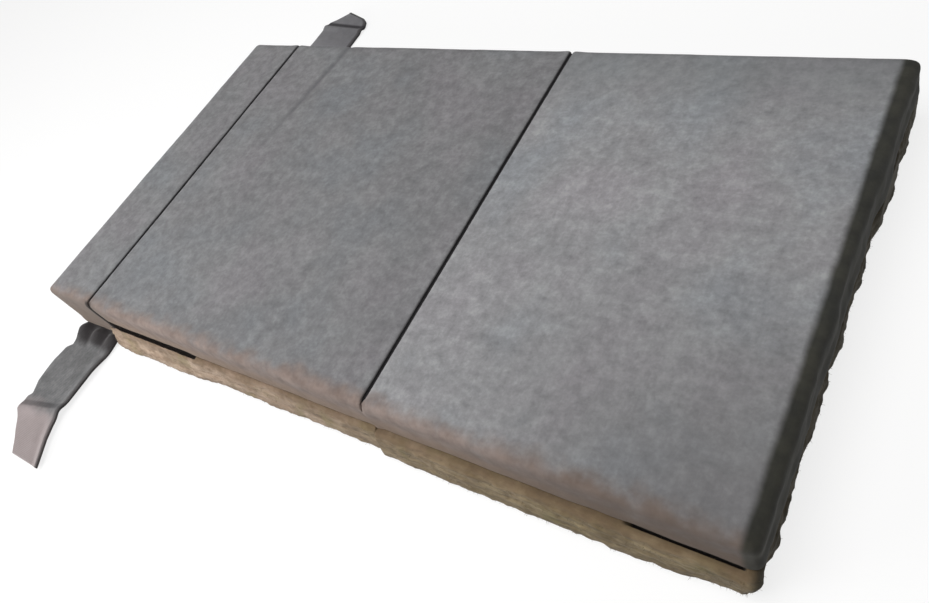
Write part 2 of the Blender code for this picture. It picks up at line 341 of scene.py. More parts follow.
# Cover cloth: tones from a colour chart, from 0 to 255, and from dark to light where there are several
WOOL = ((116, 116, 118), (135, 135, 137), (154, 155, 156))
BEIGE_WOOL = ((116, 99, 90), (142, 125, 116))
TAN_FACE = (130, 108, 88)
# Tones of painted shade, all but the cool grey; the seams' tone is grime and painted shade.
SHADED_FRONT_RIGHT = (86, 72, 61)
SHADED_LEFT_FACE = (98, 87, 79)
SEAM_GRIME_AND_SHADE = (42, 38, 38)
COOL_GREY = (104, 108, 110)
SHADED_CORNER_GREY = (86, 85, 86)
SHADED_END_OLIVE = ((30, 30, 22), (50, 49, 39))
CREASE_SHADE_GREY = (74, 74, 78)

# Cover cloth: the spans along X, Y or Z over which each of its changes comes in
BEIGE_FRONT = (-0.245, -0.272)
FRONT_FACE = (-0.262, -0.269)
LOW_FACE = (0.074, 0.046)
FRONT_SHADE_SPAN = (0.16, 0.46)
LEFT_FACE_SHADE_SPAN = (-0.35, -0.40)
SEAM_SHADE_WIDTH = (0.0036, 0.0016)
SEAM_SHADE_END = (-0.268, -0.258)
OPENED_WIDTH = (0.0092, 0.0050)
OPENED_END = (-0.262, -0.268)
COOL_REAR = (0.14, 0.25)
CORNER_SHADE_RIGHT = (0.14, 0.50)
CORNER_SHADE_FRONT = (0.02, -0.27)
PAD_END_SHADE = (0.4835, 0.4915)
PAD_TOP = (0.074, 0.082)
CREASE_SHADE_WIDTH = 0.0095
HAIR_STRETCH = (1.0, 0.16, 1.0)
HAIR_LIES = (32.0, -41.0)

# Strap cloth: its tones, and the spans of its changes
STRAP_WOOL = ((80, 81, 82), (98, 98, 99), (116, 116, 117))
STREAK = (84, 84, 85)
PINKISH = (156, 143, 142)
REAR_GREY = (134, 133, 138)
REAR_LIGHT = (156, 154, 160)
# Painted shade and shadow tones: the right edge, the folds and the root.
SHADED_RIGHT_EDGE = (50, 46, 46)
FOLD_SHADOW = (44, 42, 46)
ROOT_SHADOW = (26, 20, 22)
WORN_TAIL = (-0.392, -0.425)
REAR_TAIL = (0.26, 0.30)
REAR_ROOT = (0.400, 0.330)
RIGHT_EDGE_SHADE = (0.90, 0.97)
FOLD_SHADOW_WIDTH = (0.0062, 0.0022)
ROOT_SHADOW_END = (-0.300, -0.284)
ROOT_SHADOW_START = (-0.25, -0.262)

# Fibre mats and their loose fibres: their tones, and the spans of their changes
TAN_FIBRE = ((108, 88, 68), (150, 128, 108), (172, 150, 130), (192, 171, 151))
OLIVE_FIBRE = ((68, 57, 36), (119, 103, 74), (144, 128, 96), (168, 152, 119))
MOSS = (112, 106, 56)
SHADED_FIBRE = (104, 84, 66)
FOOT_BROWN = (108, 84, 60)
BLOTCH_BROWN = (98, 80, 54)
# Painted shade tone of the mat's right end.
SHADED_MAT_END = (52, 49, 36)
SLIT_BLACK = (28, 20, 20)
LOOSE_FIBRE = {
    "middle": ("tan_loose_fibre", (120, 102, 76), (176, 156, 126)),
    "flap": ("olive_loose_fibre", (70, 60, 36), (132, 118, 84)),
}
TAN_TO_OLIVE = (-0.10, 0.30)
MAT_UPPER = (0.0405, 0.030)
MAT_FOOT = (0.011, 0.001)
MAT_END_SHADE = (0.490, 0.502)


def tone(red, green, blue):
    """A colour chart's tone from 0 to 255, as the linear colour that a shader takes."""
    linear = []
    for part in (red, green, blue):
        share = part / 255.0
        linear.append(share / 12.92 if share <= 0.04045 else ((share + 0.055) / 1.055) ** 2.4)
    return (*linear, 1.0)


class Finish:
    """A material in the making: its node tree, with a short call for each kind of node that it uses."""

    def __init__(self, name, roughness, **sockets):
        self.material = bpy.data.materials.new(name)
        self.material.use_nodes = True
        self.tree = self.material.node_tree
        self.shader = self.tree.nodes["Principled BSDF"]
        self.shader.inputs["Roughness"].default_value = roughness
        for socket, value in sockets.items():
            self.shader.inputs[socket.replace("_", " ")].default_value = value
        self.place = self.node("ShaderNodeTexCoord").outputs["Object"]
        axes = self.node("ShaderNodeSeparateXYZ", {0: self.place})
        self.x, self.y, self.z = axes.outputs

    def node(self, kind, inputs=None, **settings):
        node = self.tree.nodes.new(kind)
        for key, value in settings.items():
            setattr(node, key, value)
        for socket, value in (inputs or {}).items():
            self.feed(node.inputs[socket], value)
        return node

    def feed(self, socket, value):
        if isinstance(value, bpy.types.NodeSocket):
            self.tree.links.new(value, socket)
        else:
            socket.default_value = value

    def noise(self, size, detail=2.0, rough=0.5, place=None):
        inputs = {"Vector": place or self.place, "Scale": 1.0 / size, "Detail": detail, "Roughness": rough}
        return self.node("ShaderNodeTexNoise", inputs).outputs[0]

    def stretched(self, factors, turn=0.0):
        inputs = {0: self.place, "Scale": factors, "Rotation": (0.0, 0.0, math.radians(turn))}
        return self.node("ShaderNodeMapping", inputs).outputs[0]

    def cells(self, size):
        inputs = {"Vector": self.place, "Scale": 1.0 / size}
        return self.node("ShaderNodeTexVoronoi", inputs).outputs["Distance"]

    def bands(self, scale, direction="X", **sockets):
        inputs = {"Vector": self.place, "Scale": scale, **sockets}
        return self.node("ShaderNodeTexWave", inputs, bands_direction=direction).outputs[1]

    def step(self, value, start, stop, low=0.0, high=1.0):
        inputs = {0: value, 1: start, 2: stop, 3: low, 4: high}
        return self.node("ShaderNodeMapRange", inputs, interpolation_type="SMOOTHSTEP").outputs[0]

    def maths(self, operation, first, second=0.0):
        return self.node("ShaderNodeMath", {0: first, 1: second}, operation=operation).outputs[0]

    def add(self, first, second):
        return self.maths("ADD", first, second)

    def times(self, first, second):
        return self.maths("MULTIPLY", first, second)

    def summed(self, *parts):
        """The sum of a few (value, share) pairs."""
        total = self.times(*parts[0])
        for part in parts[1:]:
            total = self.add(total, self.times(*part))
        return total

    def mix(self, first, second, share, blend="MIX"):
        inputs = {0: share, 6: first, 7: second}
        return self.node("ShaderNodeMix", inputs, data_type="RGBA", blend_type=blend).outputs[2]

    def ramp(self, value, stops):
        node = self.node("ShaderNodeValToRGB", {0: value})
        elements = node.color_ramp.elements
        while len(elements) < len(stops):
            elements.new(0.5)
        for element, (place, colour) in zip(elements, stops):
            element.position = place
            element.color = colour
        return node.outputs[0]

    def between(self, value, dark, light, start=0.35, stop=0.65):
        """A colour that goes from one chart tone to another as the value goes from start to stop."""
        return self.ramp(value, [(start, tone(*dark)), (stop, tone(*light))])

    def paint(self, colour, chart_tone, where, strength):
        """Lays a chart tone over a colour, at that strength where the value is 1."""
        return self.mix(colour, tone(*chart_tone), self.times(where, strength))

    def line(self, start, stop, width):
        """1 on a straight line on the top between two places, and 0 at width from it and beyond."""
        (x0, y0), (x1, y1) = start, stop
        length = math.hypot(x1 - x0, y1 - y0)
        across = ((y1 - y0) / length, -(x1 - x0) / length)
        away = self.add(self.times(self.x, across[0]), self.times(self.y, across[1]))
        away = self.maths("SUBTRACT", away, x0 * across[0] + y0 * across[1])
        return self.step(self.maths("ABSOLUTE", away), 0.0, width, 1.0, 0.0)

    def done(self, colour, height=None, depth=0.0005, strength=1.0):
        self.feed(self.shader.inputs["Base Color"], colour)
        if height is not None:
            inputs = {"Height": height, "Distance": depth, "Strength": strength}
            self.feed(self.shader.inputs["Normal"], self.node("ShaderNodeBump", inputs).outputs[0])
        return self.material


def felt_grain(finish, turn=0.0):
    """Mottling of pressed wool at four sizes, and the lie of its hairs, as one value about 0.5."""
    cloud = finish.noise(0.060, 3.0, 0.55)
    blotch = finish.noise(0.014, 3.0, 0.6)
    speck = finish.noise(0.0045, 3.0, 0.65)
    lies = [finish.stretched(HAIR_STRETCH, lie + turn) for lie in HAIR_LIES]
    hairs = finish.maths("MAXIMUM", *(finish.noise(0.0022, 2.0, 0.6, lie) for lie in lies))
    value = finish.summed((cloud, 0.20), (blotch, 0.46), (speck, 0.25), (hairs, 0.09))
    height = finish.summed((speck, 0.6), (hairs, 0.4))
    return value, height


def drift(finish, colour):
    """Slow change of hue over the cloth, from bluish to warm."""
    hue = finish.noise(0.110, 2.0, 0.5)
    tint = finish.ramp(hue, [
        (0.30, (0.965, 1.005, 1.030, 1.0)),
        (0.50, (1.0, 1.0, 1.0, 1.0)),
        (0.70, (1.025, 0.990, 1.010, 1.0)),
    ])
    return finish.mix(colour, tint, 1.0, "MULTIPLY")


def make_cover_cloth(name, lift, shaded_flap):
    """Grey pressed wool, brightened by lift, and beige towards its front edge, with painted shade on the
    front towards the right, on the front face at the left end and along the seams.

    The flap's cloth gets a cooler grey at the back and painted shade at its right front corner and down its
    right end.  The other one bears the crease, with a painted shadow line.
    """
    finish = Finish(name, 0.94, Sheen_Weight=0.06, Sheen_Roughness=0.55)
    value, height = felt_grain(finish)
    dark, mid, light = (tuple(c * lift for c in tone(*t)[:3]) + (1.0,) for t in WOOL)
    colour = finish.ramp(value, [(0.36, dark), (0.50, mid), (0.64, light)])
    colour = drift(finish, colour)
    # Beige towards the front edge, along a ragged line.
    ragged = finish.times(finish.add(finish.noise(0.030, 3.0, 0.6), -0.5), 0.036)
    front = finish.step(finish.add(finish.y, ragged), *BEIGE_FRONT)
    worn = finish.between(finish.noise(0.018, 3.0, 0.6), *BEIGE_WOOL)
    colour = finish.mix(colour, worn, finish.times(front, 0.90))
    face = finish.step(finish.y, *FRONT_FACE)
    low = finish.step(finish.z, *LOW_FACE)
    colour = finish.paint(colour, TAN_FACE, finish.times(face, low), 0.60)
    # Painted shade on the front edge, deeper towards the right.
    right = finish.times(finish.step(finish.x, *FRONT_SHADE_SPAN), front)
    colour = finish.paint(colour, SHADED_FRONT_RIGHT, right, 0.74)
    # Painted shade on the front face at the left end.
    left = finish.times(finish.step(finish.x, *LEFT_FACE_SHADE_SPAN), face)
    colour = finish.paint(colour, SHADED_LEFT_FACE, left, 0.70)
    colour = grimy_shaded_seams(finish, colour)
    if shaded_flap:
        colour = paint_flap_shade(finish, colour, front, ragged)
    else:
        colour = shaded_crease(finish, colour)
    return finish.done(colour, height, 0.0008, 0.38)


def grimy_shaded_seams(finish, colour):
    """Dark lines along both seams: grime and painted shade in the gaps.  The left seam's line widens at its
    front end, where it opens, into painted shadow.
    """
    for seam in SEAM_LINES:
        away = finish.maths("ABSOLUTE", finish.add(finish.x, -seam))
        grime_and_shade = finish.step(away, *SEAM_SHADE_WIDTH)
        if seam > 0:
            grime_and_shade = finish.times(grime_and_shade, finish.step(finish.y, *SEAM_SHADE_END))
        else:
            opened = finish.times(finish.step(away, *OPENED_WIDTH), finish.step(finish.y, *OPENED_END))
            grime_and_shade = finish.maths("MAXIMUM", grime_and_shade, opened)
        # Grime and painted shade along the seam.
        colour = finish.paint(colour, SEAM_GRIME_AND_SHADE, grime_and_shade, 0.85)
    return colour


def paint_flap_shade(finish, colour, front, ragged):
    """Cooler grey at the back, painted shade towards the right front corner, and dark olive painted shade
    down the end.
    """
    rear = finish.step(finish.y, *COOL_REAR)
    colour = finish.paint(colour, COOL_GREY, rear, 0.45)
    # Painted shade towards the right front corner, less on the beige front edge.
    corner = finish.times(finish.step(finish.x, *CORNER_SHADE_RIGHT), finish.step(finish.y, *CORNER_SHADE_FRONT))
    corner = finish.times(corner, finish.add(1.0, finish.times(front, -0.85)))
    colour = finish.paint(colour, SHADED_CORNER_GREY, corner, 0.62)
    # Painted shade down the flap's right end, dark olive.
    side = finish.step(finish.add(finish.x, finish.times(ragged, 0.10)), *PAD_END_SHADE)
    olive = finish.between(finish.noise(0.022, 3.0, 0.6), *SHADED_END_OLIVE)
    return finish.mix(colour, olive, finish.times(side, 0.95))


def shaded_crease(finish, colour):
    """The crease's painted shadow line, on the top only."""
    crease = finish.line(CREASE_START, CREASE_STOP, CREASE_SHADE_WIDTH)
    crease = finish.times(crease, finish.step(finish.y, *CREASE_FADE))
    crease = finish.times(crease, finish.step(finish.z, *PAD_TOP))
    # Painted shadow along the crease.
    return finish.paint(colour, CREASE_SHADE_GREY, crease, 0.50)


def make_strap_cloth():
    """The same wool, woven flat for the strap, with the front end worn pinkish, and painted shadow in its
    folds, at its root and along its right edge.
    """
    finish = Finish("strap_cloth", 0.92, Sheen_Weight=0.12, Sheen_Roughness=0.5)
    value, height = felt_grain(finish, 20.0)
    places = (0.36, 0.50, 0.64)
    colour = finish.ramp(value, [(place, tone(*t)) for place, t in zip(places, STRAP_WOOL)])
    streaks = finish.noise(0.006, 2.0, 0.5, finish.stretched((1.0, 0.10, 1.0)))
    colour = finish.mix(colour, tone(*STREAK), finish.step(streaks, 0.50, 0.72, 0.0, 0.40))
    blurred = finish.add(finish.y, finish.times(finish.add(finish.noise(0.03, 2.0), -0.5), 0.03))
    worn = finish.step(blurred, *WORN_TAIL)
    colour = finish.paint(colour, PINKISH, worn, 0.72)
    rear = finish.step(finish.y, *REAR_TAIL)
    colour = finish.paint(colour, REAR_GREY, rear, 0.42)
    near = finish.times(rear, finish.step(blurred, *REAR_ROOT))
    colour = finish.paint(colour, REAR_LIGHT, near, 0.45)
    across = finish.node("ShaderNodeAttribute", {}, attribute_name="across").outputs["Fac"]
    centred = finish.add(across, -0.5)
    # Painted shade along the strap's right edge, its thickness turned from the light.
    edge = finish.step(across, *RIGHT_EDGE_SHADE)
    colour = finish.paint(colour, SHADED_RIGHT_EDGE, edge, 0.75)
    # Painted shadow along the front and back folds.
    front_fold = finish.add(finish.add(finish.y, FRONT_FOLD), finish.times(centred, -FRONT_SLANT))
    back_fold = finish.add(finish.add(finish.y, -BACK_FOLD), finish.times(centred, BACK_SLANT))
    for fold, share in ((front_fold, 0.50), (back_fold, 0.92)):
        dark = finish.step(finish.maths("ABSOLUTE", fold), *FOLD_SHADOW_WIDTH)
        colour = finish.paint(colour, FOLD_SHADOW, dark, share)
    # Painted shadow at the root, where the strap comes out under the pad.
    root = finish.add(finish.y, finish.times(finish.noise(0.02, 2.0), 0.02))
    root = finish.times(finish.step(root, *ROOT_SHADOW_END), finish.step(finish.y, *ROOT_SHADOW_START))
    colour = finish.paint(colour, ROOT_SHADOW, root, 0.90)
    ribs = finish.bands(160.0, "Y", Distortion=1.5, Detail=1.0)
    height = finish.add(height, finish.times(ribs, 0.35))
    return finish.done(colour, height, 0.0006, 0.6)


def make_mat_fibre():
    """Layered plant and wool fibre: tan at the left, olive and brown towards the flap's end, darker that
    way partly as painted fall-off of the light.
    """
    finish = Finish("layered_fibre", 0.96, Sheen_Weight=0.08, Sheen_Roughness=0.6)
    layers = finish.noise(0.0100, 4.0, 0.62, finish.stretched((0.12, 0.12, 1.6)))
    lumps = finish.noise(0.016, 3.0, 0.6, finish.stretched((0.6, 0.6, 1.0)))
    speck = finish.noise(0.0030, 3.0, 0.65, finish.stretched((0.35, 0.35, 1.0)))
    value = finish.summed((layers, 0.40), (lumps, 0.30), (speck, 0.30))
    places = (0.34, 0.48, 0.58, 0.68)
    tan = finish.ramp(value, [(place, tone(*t)) for place, t in zip(places, TAN_FIBRE)])
    olive = finish.ramp(value, [(place, tone(*t)) for place, t in zip(places, OLIVE_FIBRE)])
    patch = finish.times(finish.add(finish.noise(0.055, 2.0, 0.5), -0.5), 0.45)
    # Tan to olive along X: a change of hue, and darker to the right partly as painted fall-off of the
    # light.
    colour = finish.mix(tan, olive, finish.step(finish.add(finish.x, patch), *TAN_TO_OLIVE))
    green = finish.step(finish.noise(0.040, 2.0, 0.5), 0.50, 0.70)
    colour = finish.paint(colour, MOSS, green, 0.42)
    lit = finish.step(finish.z, *MAT_UPPER)
    colour = finish.mix(tone(*SHADED_FIBRE), colour, finish.add(finish.times(lit, 0.60), 0.40))
    foot = finish.step(finish.z, *MAT_FOOT)
    colour = finish.paint(colour, FOOT_BROWN, foot, 0.40)
    blotch = finish.step(finish.noise(0.024, 3.0, 0.6), 0.46, 0.66)
    colour = finish.paint(colour, BLOTCH_BROWN, blotch, 0.42)
    # Painted shade on the mat's right end face, dark olive.
    end = finish.step(finish.x, *MAT_END_SHADE)
    colour = finish.paint(colour, SHADED_MAT_END, end, 0.85)
    colour = finish.paint(colour, SLIT_BLACK, slit_shadow(finish), 0.96)
    height = finish.summed((layers, 0.5), (speck, 0.5))
    return finish.done(colour, height, 0.0016, 0.8)


def slit_shadow(finish):
    """1 inside the open gaps above the mats, which are dark."""
    left_end = corners("middle_cover")[0][0] + MIDDLE_OPEN
    flap_high = corners("flap_cover")[1]
    right_start = flap_high[0] - FLAP_OPEN
    corner = flap_high[0] - CLOSED_CORNER
    left = finish.step(finish.x, left_end + 0.002, left_end - 0.002)
    right = finish.step(finish.x, right_start - 0.002, right_start + 0.002)
    face = finish.add(finish.maths("ABSOLUTE", finish.y), -flap_high[1])
    right = finish.times(right, finish.step(finish.x, corner + 0.001, corner - 0.001))
    left = finish.times(left, finish.step(face, LEFT_SLIT + 0.0006, LEFT_SLIT))
    right = finish.times(right, finish.step(face, RIGHT_SLIT + 0.0006, RIGHT_SLIT))
    inside = finish.times(finish.step(face, -0.012, -0.009), finish.step(finish.z, 0.012, 0.020))
    return finish.times(finish.maths("MAXIMUM", left, right), inside)


def make_loose_fibre(name, dark, light):
    finish = Finish(name, 0.85)
    return finish.done(finish.between(finish.noise(0.004, 2.0, 0.6), dark, light))


def make_hinge_cloth():
    """Dark twill tape."""
    finish = Finish("dark_hinge_cloth", 0.95)
    twill = finish.bands(420.0, "DIAGONAL", Distortion=0.6)
    fuzz = finish.noise(0.003, 3.0, 0.6)
    value = finish.summed((twill, 0.4), (fuzz, 0.6))
    colour = finish.between(value, (22, 21, 23), (52, 50, 52), 0.3, 0.7)
    return finish.done(colour, value, 0.0003, 0.7)


def make_backing_cloth():
    """Plain woven cloth that closes the covers from below."""
    finish = Finish("backing_weave", 0.92)
    weave = finish.maths("MAXIMUM", finish.bands(260.0, "X"), finish.bands(260.0, "Y"))
    worn = finish.noise(0.020, 3.0, 0.6)
    value = finish.summed((weave, 0.35), (worn, 0.65))
    colour = finish.between(value, (76, 73, 69), (128, 124, 118), 0.3, 0.7)
    return finish.done(colour, weave, 0.0004, 0.8)


def make_wool():
    """Undyed wool of the cores."""
    finish = Finish("wool_filling", 0.97, Sheen_Weight=0.2, Sheen_Roughness=0.6)
    tufts = finish.noise(0.008, 4.0, 0.7)
    colour = finish.between(tufts, (176, 170, 156), (222, 217, 205))
    return finish.done(colour, tufts, 0.002, 0.8)


def make_foil():
    """Foil face of the heat barrier, crinkled all over."""
    finish = Finish("crinkled_foil", 0.38, Metallic=0.9)
    crinkle = finish.cells(0.012)
    fine = finish.noise(0.005, 3.0, 0.6)
    height = finish.summed((crinkle, 0.7), (fine, 0.3))
    colour = finish.between(fine, (150, 150, 150), (196, 196, 195), 0.3, 0.7)
    return finish.done(colour, height, 0.0012, 0.8)


def make_tape():
    """Matt black bond tape, a little scuffed."""
    finish = Finish("matt_bond_tape", 0.7)
    scuff = finish.noise(0.010, 4.0, 0.65)
    colour = finish.between(scuff, (20, 20, 20), (44, 42, 40))
    return finish.done(colour, scuff, 0.0003, 0.6)


def make_thread():
    """Twisted sewing thread."""
    finish = Finish("twisted_thread", 0.6)
    twist = finish.bands(700.0, "DIAGONAL")
    colour = finish.between(twist, (92, 92, 94), (140, 140, 142), 0.2, 0.8)
    return finish.done(colour, twist, 0.0002, 0.8)


# ---------------------------------------------------------------- padded covers

def fill_pad(obj, seams):
    """Swells a pad as its filling does, no point further out than FILLING, and held square at its seams."""
    rest = points_of(obj)
    normals = normals_of(obj)
    square = rest + normals * np.array((0.0, FILLING, FILLING))
    move = swell(obj) - rest
    outward = (move * normals).sum(axis=1, keepdims=True)
    slide = move - normals * outward
    length = np.linalg.norm(slide, axis=1, keepdims=True)
    slide *= np.minimum(1.0, SLIDE / np.maximum(length, TINY))
    filled = rest + normals * np.clip(outward, LEAST_SWELL, FILLING) + slide
    level = normals * np.array((1.0, 1.0, 0.0))
    turned = np.linalg.norm(level, axis=1, keepdims=True)
    hem = rest + np.where(turned > 0.3, level / np.maximum(turned, TINY), 0.0) * (FILLING + HEM_FULLNESS)
    foot = fading(rest[:, 2] - rest[:, 2].min(), HEM_FADE)
    filled += (hem - filled) * foot[:, None]
    held = np.zeros(len(rest))
    for seam in seams:
        held = np.maximum(held, fading(np.abs(rest[:, 0] - seam), SEAM_HOLD))
    set_points(obj, square * held[:, None] + filled * (1.0 - held[:, None]))


def swell(obj):
    """Where cloth under light pressure takes each point of the pad."""
    take(obj)
    cloth = obj.modifiers.new("Filling", "CLOTH")
    cloth.settings.quality = 5
    cloth.settings.mass = SWELL_MASS
    cloth.settings.use_pressure = True
    cloth.settings.uniform_pressure_force = SWELL_PRESSURE
    cloth.settings.effector_weights.gravity = 0.0
    cloth.point_cache.frame_start = 1
    cloth.point_cache.frame_end = SWELL_FRAMES
    for frame_number in range(1, SWELL_FRAMES + 1):
        bpy.context.scene.frame_set(frame_number)
    ready = obj.evaluated_get(bpy.context.evaluated_depsgraph_get())
    swollen = np.empty(len(obj.data.vertices) * 3, np.float32)
    ready.data.vertices.foreach_get("co", swollen)
    obj.modifiers.remove(cloth)
    bpy.context.scene.frame_set(1)
    return swollen.reshape(-1, 3).astype(float)


def pad_blank(name, low, high, seams):
    """A pad's rounded block, finely cut near its edges, a little small so that it can be filled."""
    left_seam, right_seam = (place in seams for place in (low[0], high[0]))
    low = low + np.array((0.0 if left_seam else FILLING, FILLING, 0.0))
    high = high - np.array((0.0 if right_seam else FILLING, FILLING, FILLING))
    left_edge = SEAM_EDGE if left_seam else FREE_EDGE
    right_edge = SEAM_EDGE if right_seam else FREE_EDGE
    obj = start_box(name, low, high)
    cut_across(obj, 0, places_between(low[0], high[0], PANEL_STEP))
    cut_across(obj, 1, places_between(low[1], high[1], PANEL_STEP))
    rows = round((high[2] - low[2]) / SIDE_STEP)
    cut_across(obj, 2, [low[2] + (high[2] - low[2]) * i / rows for i in range(1, rows)])
    near = np.array((left_edge, FRONT_EDGE, 0.0))
    far = np.array((right_edge, FRONT_EDGE, FRONT_EDGE))
    set_points(obj, round_box(points_of(obj), low, high, near, far))
    return obj


def open_below(obj, floor):
    """Takes the pad's underside away and gives the rest a cloth's thickness: a tray, upside down."""
    select_faces(obj, lambda centre, normal: normal.z < -0.7 and centre.z < floor + 0.002)
    bpy.ops.mesh.delete(type="FACE")
    bpy.ops.object.mode_set(mode="OBJECT")
    apply_modifier(obj, "SOLIDIFY", thickness=CLOTH_WALL, offset=-1.0, use_rim=True)


def lay_of_cloth(points, low, high, seed):
    """Small slow unevenness of the filled cloth, less on the top than on the sides."""
    side = fading(points[:, 2] - high[2], (-0.012, -0.002))
    slow = waves(points, 0.075, seed)
    quick = waves(points, 0.017, seed + 1)
    move = np.zeros_like(points)
    front_or_back = np.minimum(points[:, 1] - low[1], high[1] - points[:, 1]) < 0.02
    outward = np.where(points[:, 1] > 0, 1.0, -1.0) * front_or_back
    move[:, 1] = outward * (0.0005 + 0.0008 * slow + 0.0004 * quick) * (0.35 + 0.65 * side)
    move[:, 2] = 0.0005 * waves(points, 0.120, seed + 2) + 0.00025 * waves(points, 0.022, seed + 3)
    move[:, 2] *= rising(points[:, 2] - high[2], (-0.02, -0.004))
    return move


def lower_rim(points, floor):
    """Lowers the rim onto the mat along the closed stretches, and leaves it clear along the open ones."""
    rim = fading(points[:, 2] - floor, (0.0, RIM_HEIGHT))
    return (open_share(points[:, 0]) - 1.0) * (LAYER_GAP - RIM_CLEARANCE) * rim


def crease(points, top):
    """How far the straight crease sinks the middle panel's top at each point."""
    start, stop = np.array(CREASE_START), np.array(CREASE_STOP)
    along = (stop - start) / np.linalg.norm(stop - start)
    across = np.array((along[1], -along[0]))
    away = np.abs((points[:, :2] - start) @ across)
    fade = rising(points[:, 1], CREASE_FADE) * rising(points[:, 2] - top, (-0.010, -0.003))
    return fade * CREASE_DEPTH * np.exp(-((away / CREASE_WIDTH) ** 2))


def flap_end(points, wall):
    """How far the flap's right side stands out, unevenly, and further near its back corner."""
    end = rising(points[:, 0] - wall, (-0.012, -0.002))
    uneven = 0.0014 + 0.0018 * waves(points, 0.050, 21) + 0.0010 * waves(points, 0.014, 22)
    return end * uneven


def strip_side(points, wall):
    """How far the strip's left side stands out, unevenly."""
    outer = fading(points[:, 0] - wall, (0.002, 0.014))
    return outer * (0.0004 + 0.0005 * waves(points, 0.060, 31) + 0.0003 * waves(points, 0.015, 32))


def seam_lip(points, wall, side):
    """Draws a pad's top edge a little over the seam, above the hinge cloth."""
    near = fading(np.abs(points[:, 0] - wall), SEAM_LIP_FADE)
    points[:, 0] += side * SEAM_LIP * near * rising(points[:, 2], SEAM_LIP_RISE)


def pinch_front(points, wall, side, low):
    """Draws two pads together at the front end of the seam.

    Their front faces meet there, and the right one laps a little in front of the left one.
    """
    near_wall = fading(np.abs(points[:, 0] - wall), PINCH_FADE)
    depth = points[:, 1] - low[1]
    height = points[:, 2] - low[2]
    lapped = fading(height, LAP_TOP)
    flat = fading(depth, FLAT_BACK) * near_wall * fading(height, FLAT_TOP)
    in_front = 1.0 if side < 0 else 0.0
    face = low[1] - FILLING * 0.5 + LAP_DEPTH * lapped * (0.5 - in_front)
    points[:, 0] += side * SEAM_ROOM * near_wall * fading(depth, PINCH_BACK)
    points[:, 0] += side * in_front * LAP_REACH * near_wall * flat * lapped
    points[:, 1] += flat * (face - points[:, 1])


def pad(panel, finish):
    """The padded cover of the middle, flap or strip panel."""
    low, high = corners(panel + "_cover")
    seams = {"middle": (low[0], high[0]), "flap": (low[0],), "strip": (high[0],)}[panel]
    obj = pad_blank(panel + "_pad_cover", low, high, seams)
    fill_pad(obj, seams)
    apply_modifier(obj, "SUBSURF", levels=1, render_levels=1)
    points = points_of(obj)
    points += lay_of_cloth(points, low, high, COVER_SEEDS[panel])
    if panel != "strip":
        points[:, 2] += lower_rim(points, low[2])
    if panel == "middle":
        points[:, 2] -= crease(points, high[2])
    elif panel == "flap":
        points[:, 0] += flap_end(points, high[0])
        points[:, 0] += back_bulge(points, PAD_BULGE)
    else:
        points[:, 0] -= strip_side(points, low[0])
    for seam in seams:
        seam_lip(points, seam, 1.0 if seam == high[0] else -1.0)
    if panel == "middle":
        pinch_front(points, high[0], 1.0, low)
    elif panel == "flap":
        pinch_front(points, low[0], -1.0, low)
    points[:, 2] = np.minimum(points[:, 2], HIGHEST_TOP)
    set_points(obj, points)
    open_below(obj, low[2])
    shade_smooth(obj)
    dress(obj, finish, panel)
    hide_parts(panel + "_cover")


# ---------------------------------------------------------------- fibre mats

def mat_blank(name, low, high):
    """A mat's block: only its sides and the rings round its top and underside are finely cut."""
    obj = start_box(name, low, high)
    select_faces(obj, lambda centre, normal: abs(normal.z) > 0.9)
    bpy.ops.mesh.inset(thickness=MAT_RING, use_individual=True)
    bpy.ops.mesh.delete(type="ONLY_FACE")
    long_cuts, cross_cuts, last_cuts = MAT_CUTS
    select_edges(obj, lambda a, b: (a - b).length > LONG_EDGE)
    bpy.ops.mesh.subdivide(number_cuts=long_cuts)
    select_edges(obj, lambda a, b: (a - b).length > CROSS_EDGE)
    bpy.ops.mesh.subdivide(number_cuts=cross_cuts)
    bpy.ops.mesh.select_all(action="SELECT")
    bpy.ops.mesh.subdivide(number_cuts=last_cuts)
    bpy.ops.mesh.select_all(action="DESELECT")
    bpy.ops.mesh.select_mode(type="EDGE")
    bpy.ops.mesh.select_non_manifold()
    bpy.ops.mesh.edge_face_add()
    bpy.ops.mesh.select_all(action="SELECT")
    bpy.ops.mesh.normals_make_consistent(inside=False)
    bpy.ops.object.mode_set(mode="OBJECT")
    return obj


def open_share(x):
    """1 along the two stretches where the gap above the mats stands open, and 0 along the closed one."""
    left_end = corners("middle_cover")[0][0] + MIDDLE_OPEN
    flap_wall = corners("flap_cover")[1][0]
    left = fading(x - left_end, (-0.008, 0.006))
    right = rising(x - flap_wall + FLAP_OPEN, (-0.006, 0.008))
    right *= fading(x - flap_wall + CLOSED_CORNER, (-0.004, 0.002))
    return np.maximum(left, right)


def slit(points):
    """How far the mat's top sinks along the open stretches: a slit between its lip and the pad's face."""
    face = corners("middle_cover")[1][1]
    away = np.abs(points[:, 1]) - face
    width = np.where(points[:, 0] < 0.0, LEFT_SLIT, RIGHT_SLIT)
    outer = fading(away - width, (-SLIT_BLUR, SLIT_BLUR))
    inner = rising(away + SLIT_REACH, (-0.003, 0.0))
    return SLIT_DEPTH * outer * inner * rising(points[:, 2], SLIT_RISE) * open_share(points[:, 0])


def back_bulge(points, reach):
    """How far the flap's end stands out near its back corner."""
    return reach * rising(points[:, 0], (0.470, 0.496)) * rising(points[:, 1], (0.090, 0.112))


def clear_of_strip(points):
    """Keeps the flap's end clear of the closing strip: only a thin lip at its foot stands out further."""
    lip = fading(points[:, 2] - LIP_HEIGHT, (0.0, LIP_BLUR))
    points[:, 0] = np.minimum(points[:, 0], END_ROOM + LIP_REACH * lip)


